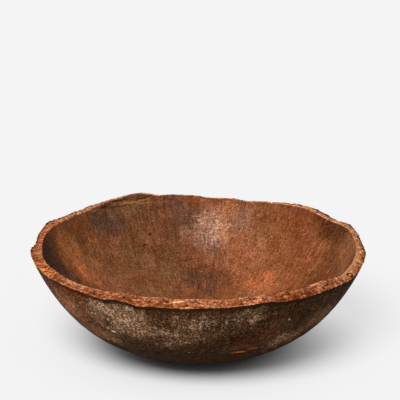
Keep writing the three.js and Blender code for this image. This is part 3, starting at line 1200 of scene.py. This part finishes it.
        # the inner half is rubbed pale on the right; behind and at the sides the outer edge is dark
        rubbed = self.product(
            self.ramp(self.inside, 0.4, 0.9),
            self.spot(self.strayed, (180, -30, 113), (80, 110, 60)),
            self.ramp(self.fleck, 0, 1, 0.3, 0.8),
        )
        wood = self.blend(rubbed, wood, colour(207, 150, 110))
        outermost = self.ramp(self.total(self.inside, self.stray(self.mottled, 0.8)), 0.32, 0.14)
        outermost = self.product(outermost, self.ramp(self.to_back, -0.3, 0.1, 0, 0.8))
        return self.blend(outermost, wood, colour(80, 38, 18))


def make_bowl_wood():
    box = BowlWood()
    polish, crazing = box.polished()
    hoops = box.noise(box.round_wall, 0.0020, 3, 0.7)
    scuffed = box.scuffed(hoops)
    face = box.ramp(box.total(box.broken, box.stray(box.mottled, 0.2)), 0.5, 0.6)
    within = box.ramp(box.inside, 0.45, 0.55)
    wood = box.blend(within, box.dark_outside(scuffed, hoops), box.worn_inside(polish, crazing))
    wood = box.blend(face, wood, box.raw_face())
    # painted shade in the peg's hole and round its mouth
    hole, _ = peg_place()
    wood = box.blend(box.spot(box.place, tuple(hole / MM), (5.8, 5.8, 5.8)), wood, colour(30, 14, 7))
    box.put(box.shader.inputs["Base Color"], wood)

    rough = box.total(box.ramp(box.grain, 0.2, 0.8, 0.62, 0.85), box.product(face, 0.15))
    box.put(box.shader.inputs["Roughness"], rough)
    box.shader.inputs["Specular IOR Level"].default_value = 0.02
    box.put(box.shader.inputs["Coat Weight"], box.product(polish, within, 0.26))
    box.shader.inputs["Coat Roughness"].default_value = 0.35
    height = box.total(
        box.product(box.grain, 0.8),
        box.product(box.lines, 0.4),
        box.product(box.cloudy, 1.2),
        box.product(scuffed, 0.3),
    )
    box.roughen(height, 0.9, 1 * MM)
    return box.material


def make_peg_wood():
    box = Paintbox("peg_wood")
    place = box.node("TexCoord").outputs["Object"]
    fine = box.noise(place, 0.0009, 2, 0.6)
    rings = box.noise(box.stretch(place, 1, 1, 0.4), 0.0016, 2, 0.5, 0.5)
    wood = box.blend(box.ramp(rings, 0.35, 0.65), colour(168, 92, 44), colour(222, 142, 84))
    wood = box.scaled(wood, box.ramp(fine, 0.25, 0.75, 0.7, 1.3))
    box.put(box.shader.inputs["Base Color"], wood)
    box.put(box.shader.inputs["Roughness"], box.ramp(fine, 0.2, 0.8, 0.65, 0.85))
    box.shader.inputs["Specular IOR Level"].default_value = 0.1
    box.roughen(fine, 0.6, 0.3 * MM)
    return box.material


def make_floor_paper():
    """Dull pale paper; seen from the camera it has a painted glow away from the bowl that lightens the outer
    part of the bowl's shadow.
    """
    box = Paintbox("pale_floor")
    box.shader.inputs["Base Color"].default_value = PAPER
    box.shader.inputs["Roughness"].default_value = 1
    box.shader.inputs["Specular IOR Level"].default_value = 0
    glow = box.node("Emission", PAPER)
    away = box.vector("LENGTH", box.node("TexCoord").outputs["Object"]).outputs["Value"]
    share = box.ramp(away, GLOW_STARTS, GLOW_FULL, 0, GLOW_SHARE)
    seen = box.product(share, box.node("LightPath").outputs["Is Camera Ray"])
    both = box.node("MixShader", seen, box.shader.outputs[0], glow.outputs[0])
    box.put(box.tree.nodes["Material Output"].inputs["Surface"], both.outputs[0])
    return box.material


# Floor, light and camera

def add_floor():
    bpy.ops.mesh.primitive_plane_add(size=PAPER_SIZE, location=(0, 0, 0))
    floor = bpy.context.object
    floor.name = "pale_floor"
    floor.data.materials.append(make_floor_paper())
    return floor


def light_room():
    world = bpy.data.worlds.new("studio")
    bpy.context.scene.world = world
    world.use_nodes = True
    world.node_tree.nodes["Background"].inputs["Color"].default_value = (1, 1, 1, 1)
    world.node_tree.nodes["Background"].inputs["Strength"].default_value = 1 - KEY_SHARE
    sun = bpy.data.lights.new("key", "SUN")
    sun.energy = KEY_SHARE * math.pi / math.sin(math.radians(KEY_HEIGHT))
    sun.angle = math.radians(KEY_WIDTH)
    key = bpy.data.objects.new("key", sun)
    bpy.context.scene.collection.objects.link(key)
    level = math.cos(math.radians(KEY_HEIGHT))
    towards_light = around(KEY_SIDE) * level + Vector((0, 0, math.sin(math.radians(KEY_HEIGHT))))
    key.rotation_mode = "QUATERNION"
    key.rotation_quaternion = towards_light.to_track_quat("Z", "Y")


def place_camera():
    camera = bpy.data.objects.new("camera", bpy.data.cameras.new("camera"))
    bpy.context.scene.collection.objects.link(camera)
    bpy.context.scene.camera = camera
    camera.data.sensor_width = SENSOR
    focal_pixels = CAMERA_DISTANCE / METRES_PER_PIXEL
    camera.data.lens = focal_pixels * SENSOR / PICTURE_SIZE
    back = Vector((0, -math.cos(CAMERA_ELEVATION), math.sin(CAMERA_ELEVATION)))
    camera.location = Vector((0, 0, CAMERA_AIM_HEIGHT)) + back * CAMERA_DISTANCE
    turn = math.atan((PICTURE_SIZE / 2 - BOWL_PIXEL[0]) / focal_pixels)
    pitch = math.atan((BOWL_PIXEL[1] - PICTURE_SIZE / 2) / focal_pixels)
    camera.rotation_mode = "XYZ"
    camera.rotation_euler = (math.pi / 2 - CAMERA_ELEVATION + pitch, 0, -turn)


# The whole scene

bowl = make_bowl()
peg = make_peg()

bowl.data.materials.clear()
bowl.data.materials.append(make_bowl_wood())
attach(bowl, "root")
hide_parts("bowl")

peg.data.materials.clear()
peg.data.materials.append(make_peg_wood())
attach(peg, "root")
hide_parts("rim_peg")

floor = add_floor()

light_room()
place_camera()
bpy.context.scene.view_settings.view_transform = "Standard"
